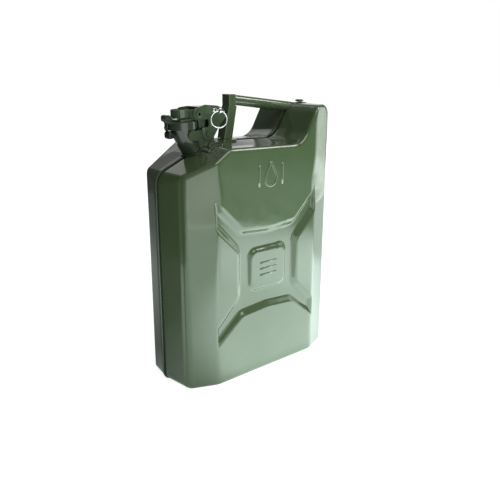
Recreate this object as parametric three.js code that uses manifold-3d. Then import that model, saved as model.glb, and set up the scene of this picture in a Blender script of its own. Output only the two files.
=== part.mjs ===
// Ten litre pressed-steel fuel can with a cam-lever filler cap.
// Millimetres, +Z up. The origin is under the middle of the base, the filler
// is at -X, the hump at +X, and the two large faces look along -Y and +Y.
import * as THREE from 'three';
import { mergeVertices } from 'three/addons/utils/BufferGeometryUtils.js';
import Module from 'manifold-3d';

const wasm = await Module();
wasm.setup();

// ---------------------------------------------------------------- dimensions
const GAP = 0.3;                 // running and assembly clearance
const CUT = 40;                  // half length of the rods that cut bores
const SHEET = 1.0;               // body sheet
const DEPTH = 127;               // front face to rear face
const HALF_DEPTH = DEPTH / 2;
const HALF_WIDTH = 130.6;        // at the front corner line
const FLAT_HALF_WIDTH = 88.8;    // the flat part of each large face
const CORNER_DEPTH = 45.5;       // from the seam to the corner line
const SIDE_DRAFT = 11.4;         // side walls swell this much at the seam
const TOP_DRAFT = 3.8;           // and the top wall this much
const BASE_RISE = 1.6;           // the base is hollow by this at the seam
const EDGE_BEVEL = 4;            // softened edge round each large face
const SEAM_HALF = 1.0;           // half thickness of the welded flange
const SEAM_PROUD = 1.2;          // the flange stands this far off the walls
const SEAM_DEEP = 5;             // and reaches this far inside
const SADDLE_Z = 331;
const HUMP_Z = 379;

const PRESS_DEPTH = 6.5;         // cross pressing
const PRESS_SLOPE = 9;           // run of its sloping wall
const BOSS = { x: 1.5, z: 157.5, half_x: 35, half_z: 31, corner: 12, step: 4, slope: 3 };

const NECK_BASE = new THREE.Vector3(-81.3, 0, 326);
const NECK_BASE_TILT = 25;       // degrees from upright, towards -X
const MOUTH = new THREE.Vector3(-99.6, 0, 361.2);
const MOUTH_TILT = 3;
const NECK_BEND = new THREE.Vector3(-99.1, 0, 351.2);
const NECK_R = 16.5;
const NECK_WALL = 1.2;
const LIP_R = 17.6;
const LIP_HEIGHT = 2.4;
const BASE_PLATE = { from_x: -82, to_x: -45, half_y: 34, thick: 2.4 };
const NECK_BEAD = 2.6;           // width of the weld ring round the neck

const VENT_R = 3.0;              // breather pipe inside the neck
const VENT_WALL = 0.7;

const CAP_R = 20.9;              // heights in the cap are above the mouth
const CAP_SHEET = 0.9;
const CAP_TOP = 3.7;
const CAP_SKIRT_END = -6.8;
const GASKET_R = 18.4;
const GASKET_HOLE_R = 9;
const RETAINER_R = 12.5;

const HINGE = new THREE.Vector3(-71, 0, 348);        // lever turns here
const RIVET = new THREE.Vector3(-86, 0, 373.5);      // cap hangs here
const LATCH = new THREE.Vector3(-124, 0, 369.4);     // thumb latch turns here
const LOCK = new THREE.Vector3(-61.5, 0, 377.6);     // locking pin
const BRACKET_Y = 16.9;          // inner face of each bracket cheek
const TONGUE_Y = 13.2;           // half width of the bracket's upright tongue
const CHEEK_Y = 19.0;            // inner face of each lever cheek
const YOKE_Y = 14.2;             // inner face of each cap ear
const PLATE = 1.6;               // bracket, yoke and lever sheet
const HINGE_R = 2.2;
const RIVET_R = 3.2;
const LOCK_R = 2.1;
const LOOP = { x: -100.7, r: 13, low: 369, high: 379 };
const NEAR_PEAK = 385;           // top of the lever's near cheek
const FAR_PEAK = 381.4;
const NEAR_NOTCH_X = -70.4;      // how far each cheek is cut away under the rivet
const FAR_NOTCH_X = -77.5;
const LEVER_WEB = 381.2;         // top of the web between the cheeks
const LATCH_PIN_R = 1.5;
const LUG_Y = 3.4;               // inner face of each latch lug
const LUG_R = 3.6;
const RIVET_HEAD_R = 5;
const RIVET_BORE_R = 1.8;
const EYE_Y = -30.5;
const EYE_HOLE_R = 2.1;
const RING_R = 10.8;
const RING_WIRE_R = 1.15;
const RING_YAW = -20;

const TUBE_R = 7.2;
const TUBE_WALL = 1.2;
const TUBE_FROM = new THREE.Vector3(-14.4, 0, 387.8);
const TUBE_TO = new THREE.Vector3(110, 0, 372.1);
const POST = { top: 395.8, shoulder: 380.1, bottom: 338, half_y: 8.5, wall: 1.5 };
const POST_TOP_X = [-27.2, -15.4];
const POST_SHOULDER_X = [-28, -13.2];
const POST_BOTTOM_X = [-36, -21];
const FOOT = { from_x: -42, to_x: -16.5, half_y: 14 };
const BUTTON = { x: 113, r: 6.4 };

// ------------------------------------------------------------------- helpers
const radians = THREE.MathUtils.degToRad;

function solidOf(geometry) {
  const bare = geometry.index ? geometry.toNonIndexed() : geometry.clone();
  bare.deleteAttribute('normal');
  bare.deleteAttribute('uv');
  const merged = mergeVertices(bare, 1e-4);
  return new wasm.Manifold(new wasm.Mesh({
    numProp: 3,
    vertProperties: new Float32Array(merged.attributes.position.array),
    triVerts: new Uint32Array(merged.index.array),
  }));
}

function geometryOf(solid) {
  const mesh = solid.getMesh();
  const geometry = new THREE.BufferGeometry();
  geometry.setAttribute('position', new THREE.BufferAttribute(mesh.vertProperties, 3));
  geometry.setIndex(new THREE.BufferAttribute(mesh.triVerts, 1));
  geometry.computeVertexNormals();
  return geometry;
}

// A closed outline through corners [x, y, radius], each corner turned into an
// arc of `steps` chords.
function roundedOutline(corners, steps = 5) {
  const points = [];
  corners.forEach(([x, y, radius], i) => {
    const here = new THREE.Vector2(x, y);
    const before = corners[(i + corners.length - 1) % corners.length];
    const after = corners[(i + 1) % corners.length];
    const back = new THREE.Vector2(before[0] - x, before[1] - y).normalize();
    const ahead = new THREE.Vector2(after[0] - x, after[1] - y).normalize();
    const half = Math.acos(THREE.MathUtils.clamp(back.dot(ahead), -1, 1)) / 2;
    const reach = radius / Math.tan(half);
    const inward = back.clone().add(ahead).normalize();
    const centre = here.clone().addScaledVector(inward, radius / Math.sin(half));
    const start = here.clone().addScaledVector(back, reach).sub(centre);
    const end = here.clone().addScaledVector(ahead, reach).sub(centre);
    const turn = Math.atan2(start.cross(end), start.dot(end));
    for (let k = 0; k <= steps; k += 1) {
      points.push(start.clone().rotateAround(new THREE.Vector2(), turn * k / steps).add(centre));
    }
  });
  return points;
}

// The same outline moved inwards by `inset` along its normals.
function insetOutline(points, inset) {
  return points.map((point, i) => {
    const before = points[(i + points.length - 1) % points.length];
    const after = points[(i + 1) % points.length];
    const along = after.clone().sub(before).normalize();
    return new THREE.Vector2(point.x - along.y * inset, point.y + along.x * inset);
  });
}

// A closed skin over rings of points that all run the same way round.
function loft(rings) {
  const count = rings[0].length;
  const positions = rings.flat().flatMap((p) => [p.x, p.y, p.z]);
  const index = [];
  for (let r = 0; r + 1 < rings.length; r += 1) {
    for (let i = 0; i < count; i += 1) {
      const a = r * count + i;
      const b = r * count + (i + 1) % count;
      index.push(a, b, a + count, b, b + count, a + count);
    }
  }
  const cap = (ring, offset, flip) => {
    const origin = ring[0];
    const u = ring[1].clone().sub(origin).normalize();
    const normal = new THREE.Vector3();
    ring.forEach((p, i) => {
      const next = ring[(i + 1) % count].clone().sub(origin);
      normal.add(p.clone().sub(origin).cross(next));
    });
    const v = normal.normalize().clone().cross(u);
    const flat = ring.map((p) => {
      const from = p.clone().sub(origin);
      return new THREE.Vector2(from.dot(u), from.dot(v));
    });
    for (const [a, b, c] of THREE.ShapeUtils.triangulateShape(flat, [])) {
      const corners = flip ? [a, c, b] : [a, b, c];
      index.push(...corners.map((corner) => offset + corner));
    }
  };
  cap(rings[0], 0, true);
  cap(rings.at(-1), (rings.length - 1) * count, false);
  const geometry = new THREE.BufferGeometry();
  geometry.setAttribute('position', new THREE.Float32BufferAttribute(positions, 3));
  geometry.setIndex(index);
  const solid = solidOf(geometry);
  if (solid.volume() > 0) return solid;
  const reversed = [];
  for (let i = 0; i < index.length; i += 3) reversed.push(index[i], index[i + 2], index[i + 1]);
  geometry.setIndex(reversed);
  return solidOf(geometry);
}

const atY = (outline, y) => outline.map((p) => new THREE.Vector3(p.x, y, p.y));
const atZ = (outline, z) => outline.map((p) => new THREE.Vector3(p.x, p.y, z));

// A flat plate cut from an XZ outline, between two Y planes.
const plateXZ = (outline, y0, y1) => loft([atY(outline, y0), atY(outline, y1)]);

// A ring of points round `centre`, in the plane tilted by `tilt` degrees.
function tiltedRing(centre, radius, tilt, count = 32) {
  const along = new THREE.Vector3(Math.cos(radians(tilt)), 0, Math.sin(radians(tilt)));
  return Array.from({ length: count }, (_, i) => {
    const angle = 2 * Math.PI * i / count;
    return centre.clone().addScaledVector(along, radius * Math.cos(angle))
      .add(new THREE.Vector3(0, radius * Math.sin(angle), 0));
  });
}

// The point `height` above `centre` along the normal of the tilted plane, and
// `along` up its slope.
function tiltedPoint(centre, tilt, height, along = 0) {
  const s = Math.sin(radians(tilt));
  const c = Math.cos(radians(tilt));
  return centre.clone().add(new THREE.Vector3(c * along - s * height, 0, s * along + c * height));
}

// A rod of radius `radius` along Y through `centre`.
function rodY(centre, radius, y0, y1, sides = 24) {
  const circle = Array.from({ length: sides }, (_, i) => {
    const angle = 2 * Math.PI * i / sides;
    return new THREE.Vector2(centre.x + radius * Math.cos(angle), centre.z + radius * Math.sin(angle));
  });
  return loft([atY(circle, y0), atY(circle, y1)]);
}

// A stack of tilted rings from [height, radius] pairs: a turned solid.
function turned(centre, tilt, profile, sides = 40) {
  return loft(profile.map(([height, radius]) =>
    tiltedRing(tiltedPoint(centre, tilt, height), radius, tilt, sides)));
}

const group = new THREE.Group();

function add(name, solid, material) {
  const mesh = new THREE.Mesh(geometryOf(solid), new THREE.MeshStandardMaterial(material));
  mesh.name = name;
  group.add(mesh);
}

const GREEN = { color: 0x4a5a44, roughness: 0.25, metalness: 0.0 };
const DARK_GREEN = { color: 0x39473a, roughness: 0.28, metalness: 0.0 };
const STEEL = { color: 0xc9cbc8, roughness: 0.25, metalness: 1.0 };
const RUBBER = { color: 0x161616, roughness: 0.7, metalness: 0.0 };

// ------------------------------------------------------------- the can's body
// The side view of the can, with `swell` 0 at the large faces and 1 at the seam.
function canOutline(swell) {
  const side = HALF_WIDTH + SIDE_DRAFT * swell;
  const top = TOP_DRAFT * swell;
  const base = BASE_RISE * swell;
  return roundedOutline([
    [-side, base, 5 + 8 * swell],
    [side, base, 5 + 8 * swell],
    [side, HUMP_Z, 16 + 6 * swell],
    [91 - top, HUMP_Z, 17],
    [62.7 - top, 328.2 + top, 30],
    [-68.5, SADDLE_Z + 0.8 + top, 14],
    [-90, 317.3 + top, 40],
    [-side, 299.3 + top - SIDE_DRAFT * swell * 0.45, 6 + 16 * swell],
  ], 6);
}

// The cross pressing seen from the front: where its walls leave the face, and
// with `inset` where they reach the floor.
function crossOutline(inset) {
  const arm = 1.4 * inset;
  return roundedOutline([
    [-96, 272 - arm, 1], [-46, 222 - arm, 12], [0, 218.5 - inset, 60],
    [46, 222 - arm, 12], [96, 272 - arm, 1],
    [96, 231 + arm, 1], [57 - inset, 191, 12], [57 - inset, 125, 12], [96, 86 - arm, 1],
    [96, 55 + arm, 1], [46, 94 + arm, 12], [0, 97.5 + inset, 60],
    [-46, 94 + arm, 12], [-96, 55 + arm, 1],
    [-96, 86 - arm, 1], [-57 + inset, 125, 12], [-57 + inset, 191, 12], [-96, 231 + arm, 1],
  ], 3);
}

function pressing(extra) {
  const face = -HALF_DEPTH + extra;
  const cross = loft([
    atY(crossOutline(-PRESS_SLOPE * 0.3), face - PRESS_DEPTH * 0.3),
    atY(crossOutline(PRESS_SLOPE), face + PRESS_DEPTH),
  ]);
  const limits = roundedOutline([[-94, 20, 2], [94, 20, 2], [94, 300, 2], [-94, 300, 2]], 1);
  const block = loft([atY(limits, face - 4), atY(limits, face + 20)]);
  const square = (grow) => roundedOutline([
    [BOSS.x - BOSS.half_x - grow, BOSS.z - BOSS.half_z - grow, BOSS.corner],
    [BOSS.x + BOSS.half_x + grow, BOSS.z - BOSS.half_z - grow, BOSS.corner],
    [BOSS.x + BOSS.half_x + grow, BOSS.z + BOSS.half_z + grow, BOSS.corner],
    [BOSS.x - BOSS.half_x - grow, BOSS.z + BOSS.half_z + grow, BOSS.corner],
  ], 4);
  const boss = loft([
    atY(square(0), face + PRESS_DEPTH - BOSS.step),
    atY(square(BOSS.slope * 1.5), face + PRESS_DEPTH + BOSS.step * 0.5),
  ]);
  return cross.intersect(block).subtract(boss);
}

// One half of the can without its neck hole, `inset` inside the outer skin.
// The front half lies at -Y.
function halfBlock(inset, seamY) {
  const seam = insetOutline(canOutline(1), inset);
  const corner = insetOutline(canOutline(0), inset);
  const face = insetOutline(canOutline(0), inset + EDGE_BEVEL);
  const front = -HALF_DEPTH + inset;
  const block = loft([
    atY(seam, seamY),
    atY(corner, -CORNER_DEPTH),
    atY(corner, front + EDGE_BEVEL),
    atY(face, front),
  ]);
  const slope = (HALF_DEPTH - CORNER_DEPTH) / (HALF_WIDTH - FLAT_HALF_WIDTH);
  const far = 220;
  const flat = FLAT_HALF_WIDTH - inset * 0.6;
  const plan = [
    [-far, 30], [far, 30], [far, front + slope * (far - flat)], [flat, front],
    [-flat, front], [-far, front + slope * (far - flat)],
  ].map(([x, y]) => new THREE.Vector2(x, y));
  return block.intersect(loft([atZ(plan, -20), atZ(plan, 420)]));
}

// ------------------------------------------------------------ the filler neck
// Rings that turn from the shoulder's slope to the mouth's while they climb.
const neckLine = new THREE.QuadraticBezierCurve3(NECK_BASE, NECK_BEND, MOUTH);

function neckBlock(radius, from, to, steps = 5) {
  const rings = [];
  for (let i = 0; i <= steps; i += 1) {
    const t = from + (to - from) * i / steps;
    const tilt = THREE.MathUtils.lerp(NECK_BASE_TILT, MOUTH_TILT, THREE.MathUtils.clamp(t, 0, 1));
    rings.push(tiltedRing(neckLine.getPoint(t), radius, tilt, 36));
  }
  return loft(rings);
}

const neckRing = (radius) => neckBlock(radius, -0.4, 0.6);
const neckHole = neckRing(NECK_R + GAP);

const frontHalf = halfBlock(0, -SEAM_HALF - GAP)
  .subtract(pressing(0))
  .subtract(halfBlock(SHEET, 1).subtract(pressing(SHEET)))
  .subtract(neckHole);
add('front_half_shell', frontHalf, GREEN);
add('rear_half_shell', frontHalf.mirror([0, 1, 0]), GREEN);

const seamPlane = canOutline(1);
const seam = plateXZ(insetOutline(seamPlane, -SEAM_PROUD), -SEAM_HALF, SEAM_HALF)
  .subtract(plateXZ(insetOutline(seamPlane, SEAM_DEEP), -5, 5))
  .subtract(neckHole);
add('seam_weld', seam, DARK_GREEN);

const lip = turned(MOUTH, MOUTH_TILT, [
  [-LIP_HEIGHT, NECK_R - 0.2], [-LIP_HEIGHT * 0.6, LIP_R], [-0.6, LIP_R], [0, LIP_R - 0.7],
], 36);
add('neck_tube', neckBlock(NECK_R, -0.1, 1).add(lip)
  .subtract(neckBlock(NECK_R - NECK_WALL, -0.3, 1.1)), DARK_GREEN);

// The space within `clearance` of the closed can.
function canSpace(clearance) {
  const half = halfBlock(-clearance, 1);
  return half.add(half.mirror([0, 1, 0]));
}

const seamSpace = plateXZ(insetOutline(seamPlane, -SEAM_PROUD - GAP), -SEAM_HALF - GAP, SEAM_HALF + GAP);
const box = (x0, x1, y0, y1, z0, z1) => plateXZ(
  [[x0, z0], [x1, z0], [x1, z1], [x0, z1]].map(([x, z]) => new THREE.Vector2(x, z)), y0, y1);
const bareCan = canSpace(GAP);
const platedCan = canSpace(GAP + BASE_PLATE.thick);

// A plate of the base plate's thickness that lies on the can inside a plan.
function skinPlate(corners) {
  const plan = roundedOutline(corners, 4);
  return loft([atZ(plan, 290), atZ(plan, 345)]).intersect(platedCan).subtract(bareCan).subtract(seamSpace);
}

const beadSpace = neckRing(NECK_R + GAP + NECK_BEAD + GAP);
add('neck_weld_ring', platedCan.intersect(neckRing(NECK_R + GAP + NECK_BEAD))
  .subtract(neckHole).subtract(bareCan).subtract(seamSpace), DARK_GREEN);
const { from_x: plateFrom, to_x: plateTo, half_y: plateY } = BASE_PLATE;
add('bracket_base_plate', skinPlate([
  [plateFrom, -plateY, 4], [plateTo - 12, -plateY, 8], [plateTo, -20, 8],
  [plateTo, 20, 8], [plateTo - 12, plateY, 8], [plateFrom, plateY, 4],
]).subtract(beadSpace), DARK_GREEN);

// A closed sweep of a round section along a curve, with an optional bore.
function pipe(points, radius, bore, steps) {
  const section = new THREE.Shape().absarc(0, 0, radius, 0, 2 * Math.PI);
  if (bore > 0) section.holes.push(new THREE.Path().absarc(0, 0, bore, 0, 2 * Math.PI, true));
  return solidOf(new THREE.ExtrudeGeometry(section, {
    steps, curveSegments: 6, bevelEnabled: false, extrudePath: new THREE.CatmullRomCurve3(points),
  }));
}

const ventPath = [
  [-88.6, 359.5], [-84.3, 350], [-78.9, 341.2], [-72.2, 331],
  [-67, 322.5], [-58, 318], [-45, 317], [-28, 317],
].map(([x, z]) => new THREE.Vector3(x, 0, z));
add('vent_tube', pipe(ventPath, VENT_R, VENT_R - VENT_WALL, 14), DARK_GREEN);

// ---------------------------------------------------- bracket and its hinge pin
// The lower and upper Y of a slab that lies from `near` to `far` on one side.
const span = (side, near, far) => [Math.min(side * near, side * far), Math.max(side * near, side * far)];
const both = (make) => make(-1).add(make(1));
const cheek = (outline, inner, thick) =>
  both((side) => plateXZ(outline, ...span(side, inner, inner + thick)));

const bracketOutline = roundedOutline([
  [-101, 339.8, 6], [-86, 339.8, 2], [-80, 318, 1], [-58, 318, 1], [-61, 342.5, 4],
  [-54, 353, 8], [-57.5, 369, 4], [-65.6, 371.6, 3],
  [-65.6, 356.5, 4], [-83, 352.6, 4], [-101, 352.6, 6],
], 3);
const flangeSpace = canSpace(GAP + BASE_PLATE.thick + GAP + PLATE);
const bracketFeet = both((side) => box(-78, -59, ...span(side, 17, 31), 300, 345))
  .add(box(-62.5, -59, -17.5, 17.5, 300, 345)).intersect(flangeSpace);
// The upright tongue between the cheeks, behind the lever's notch.
const bracketTongue = box(-60.2, -58.6, -TONGUE_Y, TONGUE_Y, 325, 366);
add('hinge_bracket', cheek(bracketOutline, BRACKET_Y, PLATE).add(bracketFeet).add(bracketTongue)
  .subtract(canSpace(GAP + BASE_PLATE.thick + GAP))
  .subtract(rodY(HINGE, HINGE_R + GAP, -CUT, CUT)), DARK_GREEN);

const headFrom = CHEEK_Y + PLATE + GAP;
const headed = (centre, radius, headRadius, headThick) =>
  rodY(centre, radius, -headFrom - 0.5, headFrom + 0.5)
    .add(both((side) => rodY(centre, headRadius, ...span(side, headFrom, headFrom + headThick))));
add('hinge_pin', headed(HINGE, HINGE_R, 4, 1.4), STEEL);

// --------------------------------------------------------------------- lever
// The near cheek stands higher than the far one and has the open notch.
const leverOutline = (peak, notch) => roundedOutline([
  [-94.3, 366.3, 7], [notch, 366.3, 2], [notch, 356.4, 2], [-81.5, 356, 2], [-79, 340.4, 5],
  [-62.8, 340.4, 7], [-60, 350.5, 6], [-43, 367, 4], [-45, 378.4, 4],
  [-56, peak - 2, 6], [-76, peak, 6], [-94.3, 379.6, 6],
], 4);
const leverCheek = (side, peak, notch) =>
  plateXZ(leverOutline(peak, notch), ...span(side, CHEEK_Y, CHEEK_Y + PLATE));

// The strip that joins the cheeks round the front, seen from above. `inset`
// is 0 for its outer side and the sheet thickness for its inner side.
function loopEdge(inset) {
  const slant = inset * 0.45;
  const edge = [
    [-88, CHEEK_Y + PLATE - inset],
    [-91.5 + slant, CHEEK_Y + PLATE - inset],
    [-98 + slant, LOOP.r - inset],
  ];
  const arc = Array.from({ length: 11 }, (_, i) => {
    const angle = Math.PI / 2 + Math.PI * i / 10;
    return [LOOP.x + (LOOP.r - inset) * Math.cos(angle), (LOOP.r - inset) * Math.sin(angle)];
  });
  return [...edge, ...arc, ...edge.toReversed().map(([x, y]) => [x, -y])];
}

const loopPlan = [...loopEdge(0), ...loopEdge(PLATE).toReversed()].map(([x, y]) => new THREE.Vector2(x, y));
const loopStrip = loft([atZ(loopPlan, LOOP.low), atZ(loopPlan, LOOP.high)]);
const leverTop = box(-76, -55.5, -CHEEK_Y - 0.5, CHEEK_Y + 0.5, LEVER_WEB - PLATE, LEVER_WEB);
add('lever_frame', leverCheek(-1, NEAR_PEAK, NEAR_NOTCH_X)
  .add(leverCheek(1, FAR_PEAK, FAR_NOTCH_X)).add(loopStrip).add(leverTop)
  .subtract(rodY(HINGE, HINGE_R + GAP, -CUT, CUT))
  .subtract(rodY(RIVET, RIVET_R + GAP, -CUT, CUT))
  .subtract(rodY(LOCK, LOCK_R + GAP, -CUT, CUT)), GREEN);
add('cap_rivet', headed(RIVET, RIVET_R, RIVET_HEAD_R, 1.2)
  .subtract(rodY(RIVET, RIVET_BORE_R, -CUT, CUT, 16)), STEEL);

// ----------------------------------------------------------------------- cap
const capPoint = (along, height) => tiltedPoint(MOUTH, MOUTH_TILT, height, along);
const capSolid = (profile, sides) => turned(MOUTH, MOUTH_TILT, profile, sides);
const lugOutline = roundedOutline([
  [LATCH.x - LUG_R, LATCH.z - LUG_R, 3.4], [LATCH.x - LUG_R, LATCH.z + LUG_R, 3.4],
  [LATCH.x + LUG_R, LATCH.z + LUG_R, 3.4],
  [-115, 365.6, 1], [-115, 362.5, 1], [-119.6, 361, 1],
], 4);
const capHollow = capSolid([
  [CAP_SKIRT_END - 3, CAP_R - CAP_SHEET], [CAP_TOP - CAP_SHEET, CAP_R - CAP_SHEET],
], 40);
add('cap_shell', capSolid([[CAP_SKIRT_END, CAP_R], [CAP_TOP - 1.2, CAP_R], [CAP_TOP, CAP_R - 1.4]], 40)
  .add(cheek(lugOutline, LUG_Y, PLATE))
  .subtract(capHollow)
  .subtract(rodY(LATCH, LATCH_PIN_R + GAP, -CUT, CUT)), DARK_GREEN);
add('cap_gasket', capSolid([[GAP, GASKET_R], [CAP_TOP - CAP_SHEET - GAP, GASKET_R]], 36)
  .subtract(capSolid([[-2, GASKET_HOLE_R], [6, GASKET_HOLE_R]], 24)), RUBBER);
add('gasket_retainer', capSolid([
  [-1.4, RETAINER_R - 1], [-0.9, RETAINER_R], [0, RETAINER_R], [0.01, GASKET_HOLE_R - GAP],
  [CAP_TOP - CAP_SHEET - GAP, GASKET_HOLE_R - GAP],
], 32), STEEL);

// The yoke's ear in the cap's own axes: along the slope, and height above the mouth.
const earOutline = roundedOutline([
  [-11, CAP_TOP + GAP, 0.6], [16.0, CAP_TOP + GAP, 0.3], [16.4, -6.5, 2], [25.5, -7.5, 3], [27.2, 6, 6],
  [20.5, 15, 5], [9.7, 15, 4.5], [8.2, 6.4, 2], [-11, 6.2, 1],
], 3).map((p) => {
  const place = capPoint(p.x, p.y);
  return new THREE.Vector2(place.x, place.z);
});
const yokeBase = loft([CAP_TOP + GAP, CAP_TOP + GAP + PLATE].map((height) =>
  roundedOutline([[-11, -15, 3], [13, -15, 1], [13, 15, 1], [-11, 15, 3]], 3)
    .map((p) => capPoint(p.x, height).setY(p.y))));
add('cap_yoke', cheek(earOutline, YOKE_Y, PLATE).add(yokeBase)
  .subtract(rodY(RIVET, RIVET_R + GAP, -CUT, CUT)), GREEN);

// --------------------------------------------------------------- thumb latch
const lugOut = LUG_Y + PLATE;
add('latch_pin', rodY(LATCH, LATCH_PIN_R, -lugOut - 1, lugOut + 1, 16)
  .add(both((side) => rodY(LATCH, 2.6, ...span(side, lugOut + GAP, lugOut + 1.4), 16))), STEEL);
const latchPlate = plateXZ([
  [-123.4, 367], [-122.4, 362.4], [-121.9, 353.6], [-119, 351.2], [-119, 344.5],
  [-120.5, 344.5], [-120.5, 350.6], [-123.4, 353.2], [-123.9, 362.2], [-125.4, 367],
].map(([x, z]) => new THREE.Vector2(x, z)), -LUG_Y + GAP, LUG_Y - GAP);
const latchBody = latchPlate.add(rodY(LATCH, 3.3, -LUG_Y + GAP, LUG_Y - GAP, 20));
const latchRivetAt = new THREE.Vector3(-122.9, 0, 357);

// A rod of radius `radius` along X through `centre`.
function rodX(centre, radius, x0, x1, sides = 16) {
  return loft([x0, x1].map((x) => Array.from({ length: sides }, (_, i) => {
    const angle = 2 * Math.PI * i / sides;
    return new THREE.Vector3(x, centre.y + radius * Math.cos(angle), centre.z + radius * Math.sin(angle));
  })));
}

add('latch_plate', latchBody.subtract(rodY(LATCH, LATCH_PIN_R + GAP, -CUT, CUT))
  .subtract(rodX(latchRivetAt, 1.5, -130, -120)), DARK_GREEN);
add('latch_rivet', rodX(latchRivetAt, 1.2, -125, -121.5)
  .add(rodX(latchRivetAt, 2.2, -125.2, -124.3)), STEEL);
const GRIP = new THREE.Vector3(-118.8, 0, 347.4);
const gripProfile = [[-6.4, 2.8], [-5.4, 4.1], [-2.6, 4.9], [2.6, 4.9], [5.4, 4.1], [6.4, 2.8]];
const gripRings = gripProfile.map(([y, r]) => atY(roundedOutline([
  [GRIP.x - r, GRIP.z - r, r * 0.6], [GRIP.x + r, GRIP.z - r, r * 0.6],
  [GRIP.x + r, GRIP.z + r, r * 0.6], [GRIP.x - r, GRIP.z + r, r * 0.6],
], 3), y));
add('latch_grip', loft(gripRings)
  .subtract(box(-120.8, -118.7, -LUG_Y, LUG_Y, 344.2, 360))
  .subtract(box(-126, -118.7, -LUG_Y, LUG_Y, 350.2, 360)), RUBBER);

// ------------------------------------------------------- locking pin and ring
const eyeAt = new THREE.Vector3(LOCK.x, EYE_Y, LOCK.z);
add('locking_pin', rodY(LOCK, LOCK_R, EYE_Y + 3.5, 23)
  .add(rodY(LOCK, 3.4, -headFrom - 1.6, -headFrom))
  .add(rodX(eyeAt, 4.6, LOCK.x - 1.1, LOCK.x + 1.1, 20))
  .subtract(rodX(eyeAt, EYE_HOLE_R, LOCK.x - 5, LOCK.x + 5, 16)), STEEL);
const ringDrop = RING_R + EYE_HOLE_R - RING_WIRE_R - GAP;
const ringCentre = eyeAt.clone().add(new THREE.Vector3(0, 0, -ringDrop));
const ring = new THREE.TorusGeometry(RING_R, RING_WIRE_R, 8, 32);
ring.rotateX(Math.PI / 2).rotateZ(radians(RING_YAW)).translate(...ringCentre.toArray());
add('pull_ring', solidOf(ring), STEEL);

// -------------------------------------------------------------------- handle
function postBlock(shrink, below) {
  const y = POST.half_y - shrink;
  const level = ([left, right], z) => atZ(roundedOutline([
    [left + shrink, -y, 2], [right - shrink, -y, 2], [right - shrink, y, 2], [left + shrink, y, 2],
  ], 3), z);
  const [footLeft, footRight] = POST_BOTTOM_X;
  const lean = (POST_SHOULDER_X[0] - footLeft) / (POST.shoulder - POST.bottom);
  const low = POST.bottom - below;
  return loft([
    level([footLeft - lean * below, footRight - lean * below], low),
    level(POST_SHOULDER_X, POST.shoulder - shrink),
    level(POST_TOP_X, POST.shoulder + 0.2 - shrink),
    level(POST_TOP_X, POST.top - shrink),
  ]);
}
const footSpace = canSpace(GAP + BASE_PLATE.thick + GAP);
add('handle_post', postBlock(0, 15).subtract(postBlock(POST.wall, 20)).subtract(footSpace), DARK_GREEN);
add('post_foot', skinPlate([
  [FOOT.from_x, -FOOT.half_y, 5], [FOOT.to_x, -FOOT.half_y, 5],
  [FOOT.to_x, FOOT.half_y, 5], [FOOT.from_x, FOOT.half_y, 5],
]), DARK_GREEN);
const rod = (radius, spare) => {
  const along = TUBE_TO.clone().sub(TUBE_FROM).normalize();
  const start = TUBE_FROM.clone().addScaledVector(along, -spare);
  const end = TUBE_TO.clone().addScaledVector(along, spare);
  return pipe([start, end], radius, 0, 1);
};
add('handle_tube', rod(TUBE_R, 0).subtract(rod(TUBE_R - TUBE_WALL, 2))
  .subtract(bareCan).subtract(seamSpace), GREEN);
add('handle_end_button', turned(new THREE.Vector3(BUTTON.x, 0, HUMP_Z), 0, [
  [SEAM_PROUD + GAP + 0.1, 4.4], [2.6, 4.4], [2.7, BUTTON.r], [4.2, BUTTON.r], [5.2, BUTTON.r - 2.2],
], 24), DARK_GREEN);

export default group;
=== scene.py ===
"""Looks for the pressed-steel fuel can: smooth pressed shells, turned and bent
closure parts, enamel, plated steel and a bright table. Metres throughout."""
import math

import bmesh
import bpy
import numpy as np
from mathutils import Matrix, Vector


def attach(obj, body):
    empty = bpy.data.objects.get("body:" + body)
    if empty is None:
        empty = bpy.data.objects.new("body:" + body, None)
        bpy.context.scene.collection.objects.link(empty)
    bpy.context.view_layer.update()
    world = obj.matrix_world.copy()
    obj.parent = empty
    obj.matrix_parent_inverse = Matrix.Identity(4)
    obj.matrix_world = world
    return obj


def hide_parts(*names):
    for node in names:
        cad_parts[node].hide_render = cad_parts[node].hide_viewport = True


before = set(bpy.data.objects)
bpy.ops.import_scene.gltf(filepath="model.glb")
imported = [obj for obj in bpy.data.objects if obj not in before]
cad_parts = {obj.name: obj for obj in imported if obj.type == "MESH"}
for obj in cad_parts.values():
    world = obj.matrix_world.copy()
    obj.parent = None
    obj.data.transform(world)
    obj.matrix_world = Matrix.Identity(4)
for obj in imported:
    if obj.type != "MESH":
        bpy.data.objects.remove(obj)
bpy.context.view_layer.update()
MM = 0.001

# ------------------------------------------------------------------- camera
YAW, PITCH, ROLL = 39.847, 17.400, 0.206
CAMERA_AT = Vector((-0.54394, -0.67260, 0.43979))

camera_data = bpy.data.cameras.new("camera")
camera_data.sensor_width = 36.0
camera_data.lens = 43.60
camera_data.clip_end = 50
camera = bpy.data.objects.new("camera", camera_data)
bpy.context.scene.collection.objects.link(camera)
yaw, pitch, roll = (math.radians(v) for v in (YAW, PITCH, ROLL))
ahead = Vector((math.sin(yaw) * math.cos(pitch), math.cos(yaw) * math.cos(pitch), -math.sin(pitch)))
right = Vector((math.cos(yaw), -math.sin(yaw), 0))
up = right.cross(ahead)
right_rolled = right * math.cos(roll) + up * math.sin(roll)
up_rolled = up * math.cos(roll) - right * math.sin(roll)
turn = Matrix((right_rolled, up_rolled, -ahead)).transposed()
camera.matrix_world = Matrix.Translation(CAMERA_AT) @ turn.to_4x4()
bpy.context.scene.camera = camera


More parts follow.
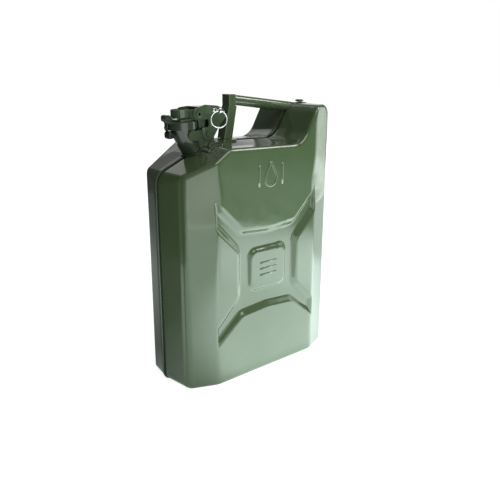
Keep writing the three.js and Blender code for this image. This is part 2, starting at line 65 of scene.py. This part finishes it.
# ---------------------------------------------------------------- materials
def node_maker(material):
    tree = material.node_tree

    def make(kind, inputs=None, **attributes):
        node = tree.nodes.new(kind)
        for key, value in attributes.items():
            setattr(node, key, value)
        for key, value in (inputs or {}).items():
            if isinstance(value, bpy.types.NodeSocket):
                tree.links.new(value, node.inputs[key])
            else:
                node.inputs[key].default_value = value
        return node
    return make, tree


def noise(make, place, scale, detail=3.0, rough=0.55):
    node = make("ShaderNodeTexNoise",
                {"Vector": place, "Scale": scale, "Detail": detail, "Roughness": rough})
    return node.outputs["Fac"]


def remap(make, value, from_min, from_max, to_min, to_max):
    node = make("ShaderNodeMapRange", {0: value, 1: from_min, 2: from_max, 3: to_min, 4: to_max})
    return node.outputs[0]


RUBBED_EDGE = (0.30, 0.34, 0.27, 1)


def enamel(name, low, high, rough=(0.10, 0.22), coat=0.6, peel=0.05, worn=0.0):
    """Sprayed gloss paint: cloudy colour, orange peel, dust in the gloss and fine specks."""
    material = bpy.data.materials.new(name)
    material.use_nodes = True
    make, tree = node_maker(material)
    shader = tree.nodes["Principled BSDF"]
    place = make("ShaderNodeTexCoord").outputs["Object"]
    cloud = remap(make, noise(make, place, 14, 5), 0.32, 0.68, 0.0, 1.0)
    colour = make("ShaderNodeMix", {0: cloud, 6: (*low, 1), 7: (*high, 1)}, data_type="RGBA").outputs[2]
    speck = remap(make, noise(make, place, 700, 1), 0.70, 0.78, 0.0, 0.35)
    dusty = make("ShaderNodeMix", {0: speck, 6: colour, 7: (*[v * 2.2 + 0.02 for v in high], 1)},
                 data_type="RGBA").outputs[2]
    if worn:
        pointed = make("ShaderNodeNewGeometry").outputs["Pointiness"]
        edge = remap(make, pointed, 0.54, 0.64, 0.0, worn)
        patchy = noise(make, place, 160, 3)
        rub = make("ShaderNodeMath", {0: edge, 1: patchy}, operation="MULTIPLY").outputs[0]
        dusty = make("ShaderNodeMix", {0: rub, 6: dusty, 7: RUBBED_EDGE}, data_type="RGBA").outputs[2]
    tree.links.new(dusty, shader.inputs["Base Color"])
    haze = remap(make, noise(make, place, 45, 4), 0.3, 0.7, *rough)
    tree.links.new(haze, shader.inputs["Roughness"])
    fine, broad = noise(make, place, 260, 2), noise(make, place, 22, 2)
    ripple = make("ShaderNodeBump", {"Height": fine, "Strength": peel, "Distance": 0.0006})
    swell = make("ShaderNodeBump", {"Height": broad, "Strength": peel, "Distance": 0.004,
                                    "Normal": ripple.outputs[0]})
    tree.links.new(swell.outputs[0], shader.inputs["Normal"])
    shader.inputs["Specular IOR Level"].default_value = 0.5
    shader.inputs["Coat Weight"].default_value = coat
    shader.inputs["Coat Roughness"].default_value = 0.06
    return material


def plated(name, colour, rough=(0.10, 0.28)):
    """Bright plating with a drawn grain and cloudy gloss."""
    material = bpy.data.materials.new(name)
    material.use_nodes = True
    make, tree = node_maker(material)
    shader = tree.nodes["Principled BSDF"]
    place = make("ShaderNodeTexCoord").outputs["Object"]
    cloud = remap(make, noise(make, place, 180, 4), 0.3, 0.7, 0.0, 1.0)
    darker = tuple(v * 0.78 for v in colour)
    mixed = make("ShaderNodeMix", {0: cloud, 6: (*darker, 1), 7: (*colour, 1)},
                 data_type="RGBA").outputs[2]
    tree.links.new(mixed, shader.inputs["Base Color"])
    haze = remap(make, noise(make, place, 400, 4), 0.3, 0.7, *rough)
    tree.links.new(haze, shader.inputs["Roughness"])
    drawn = noise(make, place, 1500, 2)
    grain = make("ShaderNodeBump", {"Height": drawn, "Strength": 0.08, "Distance": 0.0002})
    tree.links.new(grain.outputs[0], shader.inputs["Normal"])
    shader.inputs["Metallic"].default_value = 1.0
    return material


def moulded(name, colour, rough):
    """Black plastic or rubber with a fine moulded grain."""
    material = bpy.data.materials.new(name)
    material.use_nodes = True
    make, tree = node_maker(material)
    shader = tree.nodes["Principled BSDF"]
    place = make("ShaderNodeTexCoord").outputs["Object"]
    cloud = remap(make, noise(make, place, 120, 4), 0.3, 0.7, 0.0, 1.0)
    lighter = tuple(v * 1.7 + 0.004 for v in colour)
    mixed = make("ShaderNodeMix", {0: cloud, 6: (*colour, 1), 7: (*lighter, 1)},
                 data_type="RGBA").outputs[2]
    tree.links.new(mixed, shader.inputs["Base Color"])
    haze = remap(make, noise(make, place, 600, 3), 0.3, 0.7, *rough)
    tree.links.new(haze, shader.inputs["Roughness"])
    pebbles = noise(make, place, 2200, 2)
    grain = make("ShaderNodeBump", {"Height": pebbles, "Strength": 0.15, "Distance": 0.0002})
    tree.links.new(grain.outputs[0], shader.inputs["Normal"])
    return material


GREEN = enamel("green_enamel", (0.050, 0.082, 0.034), (0.064, 0.099, 0.044))
# a darker green enamel, which also serves as painted shade on the seam bead
DARK_GREEN_AND_SEAM_SHADE = enamel("dark_green_enamel_and_seam_shade", (0.022, 0.036, 0.020), (0.034, 0.052, 0.028),
                    rough=(0.12, 0.26), peel=0.08)
LEVER_GREEN = enamel("lever_enamel", (0.040, 0.068, 0.034), (0.058, 0.090, 0.044), rough=(0.12, 0.26),
                     peel=0.10, worn=0.5)
STEEL = plated("bright_steel", (0.80, 0.80, 0.79))
RUBBER = moulded("gasket_rubber", (0.012, 0.012, 0.012), (0.55, 0.75))
GRIP = moulded("grip_black", (0.010, 0.010, 0.010), (0.28, 0.45))


# ------------------------------------------------------------- mesh helpers
def piece(name, mesh, material, body, slot, *replaced):
    """A shown piece that rides on a body and stands for the CAD nodes named last."""
    obj = bpy.data.objects.new(name, mesh)
    bpy.context.scene.collection.objects.link(obj)
    obj.data.materials.clear()
    obj.data.materials.append(material)
    for polygon in obj.data.polygons:
        polygon.use_smooth = True
    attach(obj, body)
    if replaced:
        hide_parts(*replaced)
    return obj


def mesh_of(name, vertices, faces):
    mesh = bpy.data.meshes.new(name)
    mesh.from_pydata([tuple(v) for v in vertices], [], faces)
    mesh.validate()
    mesh.update()
    return mesh


def grid_mesh(name, rings, closed_ring=True, cap_last=False):
    """Quads between rings of equal length; the first ring is an outer border."""
    count = len(rings[0])
    vertices = [p for ring in rings for p in ring]
    faces = []
    spans = count if closed_ring else count - 1
    for r in range(len(rings) - 1):
        for i in range(spans):
            j = (i + 1) % count
            faces.append((r * count + i, r * count + j, (r + 1) * count + j, (r + 1) * count + i))
    if cap_last:
        vertices.append(np.mean(rings[-1], axis=0))
        last = (len(rings) - 1) * count
        faces += [(last + i, last + (i + 1) % count, len(vertices) - 1) for i in range(count)]
    return mesh_of(name, vertices, faces)


def outward(mesh):
    """Turns every face to look out of a closed mesh."""
    form = bmesh.new()
    form.from_mesh(mesh)
    bmesh.ops.recalc_face_normals(form, faces=form.faces)
    form.to_mesh(mesh)
    form.free()
    return mesh


def from_cad(name, node, material, body, slot, width=0.35, segments=3):
    """The CAD solid with clean flats and rolled edges of that width in millimetres."""
    form = bmesh.new()
    form.from_mesh(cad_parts[node].data)
    bmesh.ops.remove_doubles(form, verts=form.verts, dist=1e-5)
    bmesh.ops.dissolve_limit(form, angle_limit=math.radians(2), verts=form.verts, edges=form.edges)
    corners = [edge for edge in form.edges
               if len(edge.link_faces) == 2 and edge.calc_face_angle(0) > math.radians(32)]
    bmesh.ops.bevel(form, geom=corners, offset=width * MM, segments=segments, profile=0.6,
                    affect="EDGES", clamp_overlap=True)
    mesh = bpy.data.meshes.new(name)
    form.to_mesh(mesh)
    form.free()
    obj = piece(name, mesh, material, body, slot, node)
    weighted = obj.modifiers.new("even_normals", "WEIGHTED_NORMAL")
    weighted.keep_sharp = True
    return obj


def sweep(name, path, radius, count=24, closed=False, flat=1.0):
    """A round bar along a path in millimetres; its radius may change ring by ring and its open ends are
    filled flat.
    """
    points = [Vector(p) for p in path]
    rings = []
    normal = None
    total = len(points)
    for k, point in enumerate(points):
        before = points[k - 1] if k or closed else point
        after = points[(k + 1) % total] if k + 1 < total or closed else point
        along = (after - before).normalized()
        if normal is None:
            normal = along.orthogonal().normalized()
        normal = (normal - along * normal.dot(along)).normalized()
        side = along.cross(normal)
        r = radius[k] if isinstance(radius, (list, tuple)) else radius
        rings.append(np.array([(point + normal * (r * math.cos(2 * math.pi * i / count))
                                + side * (r * flat * math.sin(2 * math.pi * i / count))) * MM
                               for i in range(count)]))
    if closed:
        rings.append(rings[0])
    mesh = grid_mesh(name, rings)
    form = bmesh.new()
    form.from_mesh(mesh)
    bmesh.ops.remove_doubles(form, verts=form.verts, dist=1e-7)
    bmesh.ops.holes_fill(form, edges=form.edges)
    form.to_mesh(mesh)
    form.free()
    return outward(mesh)


# --------------------------------------------------------- the pressed shells
HALF_WIDTH, SIDE_DRAFT, TOP_DRAFT, BASE_RISE = 130.6, 11.4, 3.8, 1.6
HUMP_Z, SADDLE_Z = 379.0, 331.0
FACE, FLAT_HALF_WIDTH, CORNER_DEPTH = 62.7, 88.8, 45.5
CREASE_BOW = 7.0
CREASE_BLEND = 0.55
EDGE_RADIUS = 6.2
SEAM_DIP = 2.2
PRESS_DEPTH, PRESS_RUN = 6.4, 10.0
BOSS_X, BOSS_Z, BOSS_HALF_X, BOSS_HALF_Z = 1.5, 157.5, 33.5, 29.5
BOSS_CORNER, BOSS_HEIGHT, BOSS_RUN = 12.0, 4.0, 5.5


def rounded(corners, arc_steps, edge_steps):
    """A closed outline through (x, z, radius) corners with fixed numbers of points."""
    points = []
    arcs = []
    total = len(corners)
    for i, (x, z, radius) in enumerate(corners):
        here = np.array((x, z))
        back = np.array(corners[i - 1][:2]) - here
        ahead_way = np.array(corners[(i + 1) % total][:2]) - here
        back = back / np.linalg.norm(back)
        ahead_way = ahead_way / np.linalg.norm(ahead_way)
        half = math.acos(np.clip(back @ ahead_way, -1, 1)) / 2
        reach = radius / math.tan(half)
        bisector = back + ahead_way
        centre = here + bisector / np.linalg.norm(bisector) * radius / math.sin(half)
        start = here + back * reach - centre
        end = here + ahead_way * reach - centre
        angle = math.atan2(start[0] * end[1] - start[1] * end[0], start @ end)
        arc = []
        for k in range(arc_steps + 1):
            a = angle * k / arc_steps
            arc.append(centre + np.array((start[0] * math.cos(a) - start[1] * math.sin(a),
                                          start[0] * math.sin(a) + start[1] * math.cos(a))))
        arcs.append(arc)
    for i, arc in enumerate(arcs):
        points += arc
        following = arcs[(i + 1) % total][0]
        steps = edge_steps[i] if isinstance(edge_steps, (list, tuple)) else edge_steps
        for k in range(1, steps):
            points.append(arc[-1] + (following - arc[-1]) * k / steps)
    return np.array(points)


def can_outline(swell):
    side = HALF_WIDTH + SIDE_DRAFT * swell
    top = TOP_DRAFT * swell
    base = BASE_RISE * swell
    corners = [
        (-side, base, 7.5 + 6 * swell), (side, base, 7.5 + 6 * swell), (side, HUMP_Z, 16 + 6 * swell),
        (91 - top, HUMP_Z, 17), (62.7 - top, 328.2 + top, 30), (-68.5, SADDLE_Z + 0.8 + top, 14),
        (-90, 317.3 + top, 40), (-side, 299.3 + top - SIDE_DRAFT * swell * 0.45, 8 + 14 * swell),
    ]
    return rounded(corners, 12, [70, 96, 6, 8, 34, 4, 10, 76])


def inset(points, distance):
    along = np.roll(points, -1, axis=0) - np.roll(points, 1, axis=0)
    along /= np.linalg.norm(along, axis=1)[:, None]
    return points + distance * np.stack((-along[:, 1], along[:, 0]), axis=1)


def signed_distance(points, outline):
    """Distance to a closed outline, below zero inside it."""
    best = np.full(len(points), 1e9)
    inside = np.zeros(len(points), bool)
    for a, b in zip(outline, np.roll(outline, -1, axis=0)):
        edge = b - a
        t = np.clip(((points - a) @ edge) / max(edge @ edge, 1e-12), 0, 1)
        best = np.minimum(best, np.linalg.norm(points - a - t[:, None] * edge, axis=1))
        crosses = (a[1] > points[:, 1]) != (b[1] > points[:, 1])
        height = np.where(crosses, edge[1], 1.0)
        inside ^= crosses & (points[:, 0] < edge[0] * (points[:, 1] - a[1]) / height + a[0])
    return np.where(inside, -best, best)


CROSS = rounded([
    (-104, 280, 1), (-46, 222, 12), (0, 218.5, 60), (46, 222, 12), (104, 280, 1),
    (104, 239, 1), (57, 191, 12), (57, 125, 12), (104, 78, 1),
    (104, 47, 1), (46, 94, 12), (0, 97.5, 60), (-46, 94, 12), (-104, 47, 1),
    (-104, 78, 1), (-57, 125, 12), (-57, 191, 12), (-104, 239, 1)], 5, 3)
BOSS = rounded([(BOSS_X + right_side * BOSS_HALF_X, BOSS_Z + top_side * BOSS_HALF_Z, BOSS_CORNER)
                for right_side, top_side in ((-1, -1), (1, -1), (1, 1), (-1, 1))], 6, 4)


def eased(t):
    """A ramp from 0 to 1 with rolled ends and a straight middle."""
    t = np.clip(t, 0, 1)
    roll_share = 0.28
    scale = 1 / (1 - roll_share)
    low = t * t / (2 * roll_share)
    middle = t - roll_share / 2
    high = 1 - roll_share - (1 - t) ** 2 / (2 * roll_share)
    return scale * np.where(t < roll_share, low, np.where(t > 1 - roll_share, high, middle))


def face_depth(points):
    """How far the large face stands from the seam plane at each (x, z), in millimetres."""
    x = np.abs(points[:, 0])
    bow = CREASE_BOW * eased((points[:, 1] - 236) / 24) * (1 - eased((points[:, 1] - 262) / 58))
    crease = FLAT_HALF_WIDTH - bow
    slope = (FACE - CORNER_DEPTH + 0.4) / (HALF_WIDTH - crease)
    sloping = FACE - slope * (x - crease)
    flat = -CREASE_BLEND * np.log(np.exp((sloping - FACE) / -CREASE_BLEND) + 1) + FACE
    cross = signed_distance(points, CROSS)
    arm_end = (x - 91.5) * 1.6
    press = PRESS_DEPTH * eased(-np.maximum(cross, arm_end) / PRESS_RUN)
    boss = BOSS_HEIGHT * eased(0.5 - signed_distance(points, BOSS) / BOSS_RUN)
    return flat - press + boss


NECK_BASE = Vector((-81.3, 0, 326))
NECK_TILT = math.radians(25)
NECK_AXIS = Vector((-math.sin(NECK_TILT), 0, math.cos(NECK_TILT)))


def near_neck(face, half_length, radius):
    """Whether a face's middle lies in the neck's way, all in millimetres."""
    away = face.calc_center_median() / MM - NECK_BASE
    along = away.dot(NECK_AXIS)
    return abs(along) < half_length and (away - NECK_AXIS * along).length < radius


def cut_for_neck(mesh, half_length, radius, tidy_normals):
    form = bmesh.new()
    form.from_mesh(mesh)
    gone = [face for face in form.faces if near_neck(face, half_length, radius)]
    bmesh.ops.delete(form, geom=gone, context="FACES")
    if tidy_normals:
        bmesh.ops.recalc_face_normals(form, faces=form.faces)
    form.to_mesh(mesh)
    form.free()
    return mesh


# heights of the wall's first rings above the seam, where the sheet turns in to it
SEAM_LEVELS = (0, 0.6, 1.3, 2.1, 3.1, 4.3, 5.8)
SEAM_Y = 1.3
WALL_RINGS, EDGE_RINGS, FACE_RINGS = 10, 8, 92
FACE_CENTRE = np.array((8.0, 165.0))
SHELL_HOLE_R, SEAM_HOLE_R = 17.6, 17.2


def shell(name, sign):
    """One pressed half: wall from the seam, rolled edge, then rings across the face."""
    narrow, wide = can_outline(0), can_outline(1)
    edge_depth = face_depth(narrow)
    turned_in = SEAM_Y + SEAM_LEVELS[-1]
    depths = [np.full(len(narrow), SEAM_Y + level) for level in SEAM_LEVELS]
    for k in range(1, WALL_RINGS + 1):
        depths.append(turned_in + (edge_depth - EDGE_RADIUS - turned_in) * k / WALL_RINGS)
    rings = []
    for y in depths:
        swell = np.clip(1 - (y - SEAM_Y) / (CORNER_DEPTH - SEAM_Y), 0, 1)
        xz = narrow + (wide - narrow) * swell[:, None]
        dip = SEAM_DIP * max(0.0, 1 - (float(y[0]) - SEAM_Y) / SEAM_LEVELS[-1]) ** 2
        rings.append((inset(xz, dip) if dip else xz, y))
    for k in range(1, EDGE_RINGS + 1):
        angle = math.pi / 2 * k / EDGE_RINGS
        xz = inset(narrow, EDGE_RADIUS * (1 - math.cos(angle)))
        rings.append((xz, face_depth(xz) - EDGE_RADIUS * (1 - math.sin(angle))))
    rim = rings[-1][0]
    for u in np.linspace(1, 0, FACE_RINGS)[1:-1]:
        xz = FACE_CENTRE + (rim - FACE_CENTRE) * u
        rings.append((xz, face_depth(xz)))
    built = [np.stack((xz[:, 0], sign * y, xz[:, 1]), axis=1) * MM for xz, y in rings]
    return cut_for_neck(grid_mesh(name, built, cap_last=True), 15, SHELL_HOLE_R, True)


def check_outward(mesh, sign):
    """A sheet's faces may all have been turned inwards: the far face decides."""
    best = max(mesh.polygons, key=lambda p: sign * p.center.y)
    if best.normal.y * sign < 0:
        mesh.flip_normals()
    return mesh


for label, sign in (("front", -1), ("rear", 1)):
    mesh = check_outward(shell(f"{label}_shell_skin", sign), sign)
    piece(f"{label}_shell_skin", mesh, GREEN, "can", "green_paint", f"{label}_half_shell")


def stroke(name, path, radius, height, y, sign):
    """A raised bead pressed in the sheet along (x, z) points."""
    line = [(x, sign * y, z) for x, z in path]
    mesh = sweep(name, line, radius, 16)
    for vertex in mesh.vertices:
        above = sign * vertex.co.y / MM - y
        vertex.co.y = sign * (y + above * height / radius) * MM
    return mesh


def arc_points(cx, cz, r, a0, a1, steps):
    return [(cx + r * math.cos(math.radians(a0 + (a1 - a0) * k / steps)),
             cz + r * math.sin(math.radians(a0 + (a1 - a0) * k / steps))) for k in range(steps + 1)]


SUNK = 0.1
# A generic fuel drop between two bars, and three plain ribs on the boss.
DROP = [(2, 309)] + arc_points(2, 286.5, 10.5, 28, -208, 28) + [(2, 309)]
MARKS = {"mark_bar_left": [(-19, 306), (-19, 276)], "mark_drop": DROP,
         "mark_bar_right": [(23, 306), (23, 276)]}
RIB_HALF, RIB_PITCH = 15, 9
RIBS = {f"boss_rib_{k}": [(BOSS_X + side * RIB_HALF, BOSS_Z + RIB_PITCH * (1 - k)) for side in (-1, 1)]
        for k in range(3)}
for label, sign in (("front", -1), ("rear", 1)):
    for name, path in MARKS.items():
        dense = []
        for (x0, z0), (x1, z1) in zip(path, path[1:]):
            dense += [(x0 + (x1 - x0) * k / 4, z0 + (z1 - z0) * k / 4) for k in range(4)]
        dense.append(path[-1])
        piece(f"{label}_{name}", stroke(name, dense, 1.9, 0.75, FACE - SUNK, sign),
              GREEN, "can", "green_paint")
    for name, path in RIBS.items():
        level = FACE - PRESS_DEPTH + BOSS_HEIGHT - SUNK
        piece(f"{label}_{name}", stroke(name, path, 1.7, 0.9, level, sign),
              GREEN, "can", "green_paint")

# The folded and welded seam: a rounded flange that follows the widest outline. It takes the darker enamel
# as painted shade for the shadowed groove along the seam.
SEAM_PROUD = 1.2
seam_rings = []
for offset, y in ((5, -1), (0, -1), (-SEAM_PROUD + 0.5, -1), (-SEAM_PROUD + 0.12, -0.72), (-SEAM_PROUD, 0),
                  (-SEAM_PROUD + 0.12, 0.72), (-SEAM_PROUD + 0.5, 1), (0, 1), (5, 1)):
    xz = inset(can_outline(1), offset)
    seam_rings.append(np.stack((xz[:, 0], np.full(len(xz), float(y)), xz[:, 1]), axis=1) * MM)
seam_mesh = cut_for_neck(grid_mesh("seam_bead", seam_rings), 12, SEAM_HOLE_R, False)
piece("seam_bead", seam_mesh, DARK_GREEN_AND_SEAM_SHADE, "can", "green_paint", "seam_weld")

# ------------------------------------------------------------- carried parts
CARRIED = (
    ("neck_ring_bead", "neck_weld_ring", DARK_GREEN_AND_SEAM_SHADE, "can", "dark_green_paint", 0.7),
    ("bracket_plate", "bracket_base_plate", LEVER_GREEN, "can", "green_paint", 0.8),
    ("breather_pipe", "vent_tube", DARK_GREEN_AND_SEAM_SHADE, "can", "dark_green_paint", 0.15),
    ("bracket", "hinge_bracket", LEVER_GREEN, "can", "green_paint", 0.8),
    ("neck", "neck_tube", DARK_GREEN_AND_SEAM_SHADE, "can", "dark_green_paint", 0.5),
    ("grip_tube", "handle_tube", GREEN, "can", "green_paint", 0.6),
    ("tube_button", "handle_end_button", GREEN, "can", "green_paint", 0.5),
    ("lever_pin", "hinge_pin", LEVER_GREEN, "can", "green_paint", 0.5),
    ("post", "handle_post", GREEN, "can", "green_paint", 0.5),
    ("post_base", "post_foot", GREEN, "can", "green_paint", 0.8),
    ("lever", "lever_frame", LEVER_GREEN, "lever", "green_paint", 0.8),
    ("yoke", "cap_yoke", LEVER_GREEN, "cap", "green_paint", 0.6),
    ("cap", "cap_shell", DARK_GREEN_AND_SEAM_SHADE, "cap", "dark_green_paint", 0.5),
    ("rivet", "cap_rivet", LEVER_GREEN, "lever", "green_paint", 0.8),
    ("seal", "cap_gasket", RUBBER, "cap", "rubber", 0.2),
    ("seal_retainer", "gasket_retainer", STEEL, "cap", "bright_steel", 0.2),
    ("latch_axle", "latch_pin", DARK_GREEN_AND_SEAM_SHADE, "cap", "dark_green_paint", 0.3),
    ("latch", "latch_plate", DARK_GREEN_AND_SEAM_SHADE, "latch", "dark_green_paint", 0.3),
    ("knob", "latch_grip", GRIP, "latch", "black_grip", 0.9),
    ("knob_rivet", "latch_rivet", DARK_GREEN_AND_SEAM_SHADE, "latch", "dark_green_paint", 0.3),
    ("lock_pin", "locking_pin", STEEL, "locking_pin", "bright_steel", 0.2),
)
for name, node, material, body, slot, width in CARRIED:
    from_cad(name, node, material, body, slot, width)

RING_RADIUS, RING_WIRE, RING_STEPS = 10.8, 1.05, 96
RING_YAW = math.radians(-20)


def ring_loop():
    """The wire ring, round where the CAD loop is faceted, turned to the same heading."""
    spots = np.array([v.co[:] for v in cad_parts["pull_ring"].data.vertices]) / MM
    middle = Vector((spots.min(axis=0) + spots.max(axis=0)) / 2)
    flat = Vector((math.cos(RING_YAW), math.sin(RING_YAW), 0))
    path = []
    for i in range(RING_STEPS):
        angle = 2 * math.pi * i / RING_STEPS
        lift = Vector((0, 0, RING_RADIUS * math.sin(angle)))
        path.append(middle + flat * (RING_RADIUS * math.cos(angle)) + lift)
    return sweep("wire_ring", path, RING_WIRE, count=16, closed=True)


piece("wire_ring", ring_loop(), STEEL, "pull_ring", "bright_steel", "pull_ring")

# --------------------------------------------------------- table and lights
ROOM_LIGHT = 0.22
FLAG_GLOW = 0.05
# painted glow of the table away from the pools, seen only in reflections; the camera sees an even white
# table
TABLE_FAR, TABLE_SEEN = 0.09, 0.86
# painted shade: reflections and bounce light see this darker table colour, the camera the pale one
TABLE_DARK = 0.22
# red and blue of the painted glow seen in reflections
TABLE_TINT = (0.87, 0.98)
# pools of light painted on the table as glow, seen in the can's gloss and lighting it from below; columns:
# centre, stretch, inner and outer reach, start and end of the fade in y, brightness
POOLS = (
    ((0.25, -0.35, 0), (1.2, 1.0, 1.0), (0.42, 0.54), (-0.09, -0.01), 2.8),
    ((0.36, -0.44, 0), (1.0, 1.0, 1.0), (0.12, 0.24), (5.0, 6.0), 1.1),
    ((-0.48, -0.46, 0), (1.0, 1.0, 1.0), (0.34, 0.76), (-0.08, 0.12), 1.3),
    ((0.90, 0.50, 0), (1.0, 1.0, 1.0), (0.85, 1.12), (5.0, 6.0), 1.0),
    ((0.95, -1.15, 0), (1.0, 1.0, 1.0), (0.10, 0.55), (5.0, 6.0), 0.45),
)


# One pool of light painted on the table: glow that falls off from a centre and fades out in y.
def painted_light_pool(make, place, centre, stretch, edge, fade, bright):
    offset = make("ShaderNodeVectorMath", {0: place, 1: centre}, operation="SUBTRACT").outputs[0]
    scaled = make("ShaderNodeVectorMath", {0: offset, 1: stretch}, operation="MULTIPLY").outputs[0]
    reach = make("ShaderNodeVectorMath", {0: scaled}, operation="LENGTH").outputs["Value"]
    patch = remap(make, reach, *edge, bright, 0.0)
    patch.node.interpolation_type = "SMOOTHSTEP"
    depth = make("ShaderNodeSeparateXYZ", {0: place}).outputs["Y"]
    ahead_only = remap(make, depth, *fade, 1.0, 0.0)
    return make("ShaderNodeMath", {0: patch, 1: ahead_only}, operation="MULTIPLY").outputs[0]


def table_material():
    """A table pale to the camera; reflections see a darker table (painted shade) with painted pools of
    light glowing in front of the can and to its sides, which show in the gloss.
    """
    material = bpy.data.materials.new("pale_table")
    material.use_nodes = True
    make, tree = node_maker(material)
    shader = tree.nodes["Principled BSDF"]
    place = make("ShaderNodeTexCoord").outputs["Object"]
    # the painted pools of light add up to the glow that reflections see
    painted_glow = TABLE_FAR
    for pool in POOLS:
        patch = painted_light_pool(make, place, *pool)
        painted_glow = make("ShaderNodeMath", {0: patch, 1: painted_glow}, operation="ADD").outputs[0]
    seen = make("ShaderNodeLightPath").outputs["Is Camera Ray"]
    glow = make("ShaderNodeMix", {0: seen, 2: painted_glow, 3: TABLE_SEEN}).outputs[0]
    fleck = remap(make, noise(make, place, 9, 3), 0.3, 0.7, 0.86, 0.90)
    # painted shade: a darker table for reflections, the pale table for the camera
    pale = make("ShaderNodeMix", {0: seen, 2: TABLE_DARK, 3: fleck}).outputs[0]
    tint = make("ShaderNodeCombineColor", {0: pale, 1: pale, 2: pale}).outputs[0]
    tree.links.new(tint, shader.inputs["Base Color"])
    red, blue = (make("ShaderNodeMix", {0: seen, 2: part, 3: 1.0}).outputs[0] for part in TABLE_TINT)
    hue = make("ShaderNodeCombineColor", {0: red, 1: 1.0, 2: blue}).outputs[0]
    tree.links.new(hue, shader.inputs["Emission Color"])
    tree.links.new(glow, shader.inputs["Emission Strength"])
    shader.inputs["Roughness"].default_value = 0.6
    return material


table = bpy.data.objects.new("table", mesh_of(
    "table", [(-9, -9, -0.0004), (9, -9, -0.0004), (9, 9, -0.0004), (-9, 9, -0.0004)], [(0, 1, 2, 3)]))
bpy.context.scene.collection.objects.link(table)
table.data.materials.append(table_material())


def area_light(name, place, target, size, radiance, colour=(1, 1, 1)):
    data = bpy.data.lights.new(name, "AREA")
    data.shape = "RECTANGLE"
    data.size, data.size_y = size
    data.energy = radiance * math.pi * size[0] * size[1]
    data.color = colour
    light = bpy.data.objects.new(name, data)
    bpy.context.scene.collection.objects.link(light)
    light.location = place
    light.rotation_euler = (Vector(target) - Vector(place)).to_track_quat("-Z", "Y").to_euler()
    return light


area_light("right_softbox", (1.15, -0.35, 0.45), (0.05, 0, 0.2), (0.8, 0.9), 1.8, (0.92, 1.0, 0.92))
area_light("top_softbox", (0.78, -0.36, 1.15), (0, 0, 0.3), (0.5, 0.35), 7.0)
area_light("front_top_softbox", (0.0, -0.80, 1.30), (0, 0, 0.3), (1.0, 0.6), 3.2)
area_light("front_left_softbox", (-0.30, -0.86, 0.25), (-0.12, 0, 0.22), (0.75, 0.5), 1.5)
area_light("low_back_softbox", (1.7, 1.9, 0.5), (0, 0, 0.3), (1.6, 0.8), 0.6)
area_light("high_back_softbox", (0.3, 1.3, 1.3), (0, 0, 0.3), (0.8, 0.6), 0.6)


def flag(name, corners):
    """A dark studio flag outside the picture, which keeps light off one side and glows faintly: painted
    light seen in the gloss of the walls that face it.
    """
    card = bpy.data.objects.new(name, mesh_of(name, corners, [(0, 1, 2, 3)]))
    bpy.context.scene.collection.objects.link(card)
    material = bpy.data.materials.new(name)
    material.use_nodes = True
    shader = material.node_tree.nodes["Principled BSDF"]
    shader.inputs["Base Color"].default_value = (0.01, 0.01, 0.01, 1)
    shader.inputs["Roughness"].default_value = 1.0
    shader.inputs["Emission Color"].default_value = (1.0, 0.96, 0.90, 1)
    shader.inputs["Emission Strength"].default_value = FLAG_GLOW
    card.data.materials.append(material)
    card.visible_camera = False


flag("left_flag", [(-0.66, -0.30, 0), (-0.66, 0.9, 0), (-0.66, 0.9, 1.3), (-0.66, -0.30, 1.3)])
flag("rear_left_flag", [(-0.66, 0.9, 0), (0.05, 1.5, 0), (0.05, 1.5, 1.3), (-0.66, 0.9, 1.3)])

world = bpy.data.worlds.new("studio")
world.use_nodes = True
make, tree = node_maker(world)
background = tree.nodes["Background"]
seen = make("ShaderNodeLightPath").outputs["Is Camera Ray"]
strength = remap(make, seen, 0, 1, ROOM_LIGHT, 1.0)
tree.links.new(strength, background.inputs["Strength"])
background.inputs["Color"].default_value = (1, 1, 1, 1)
bpy.context.scene.world = world
bpy.context.scene.view_settings.view_transform = "Standard"
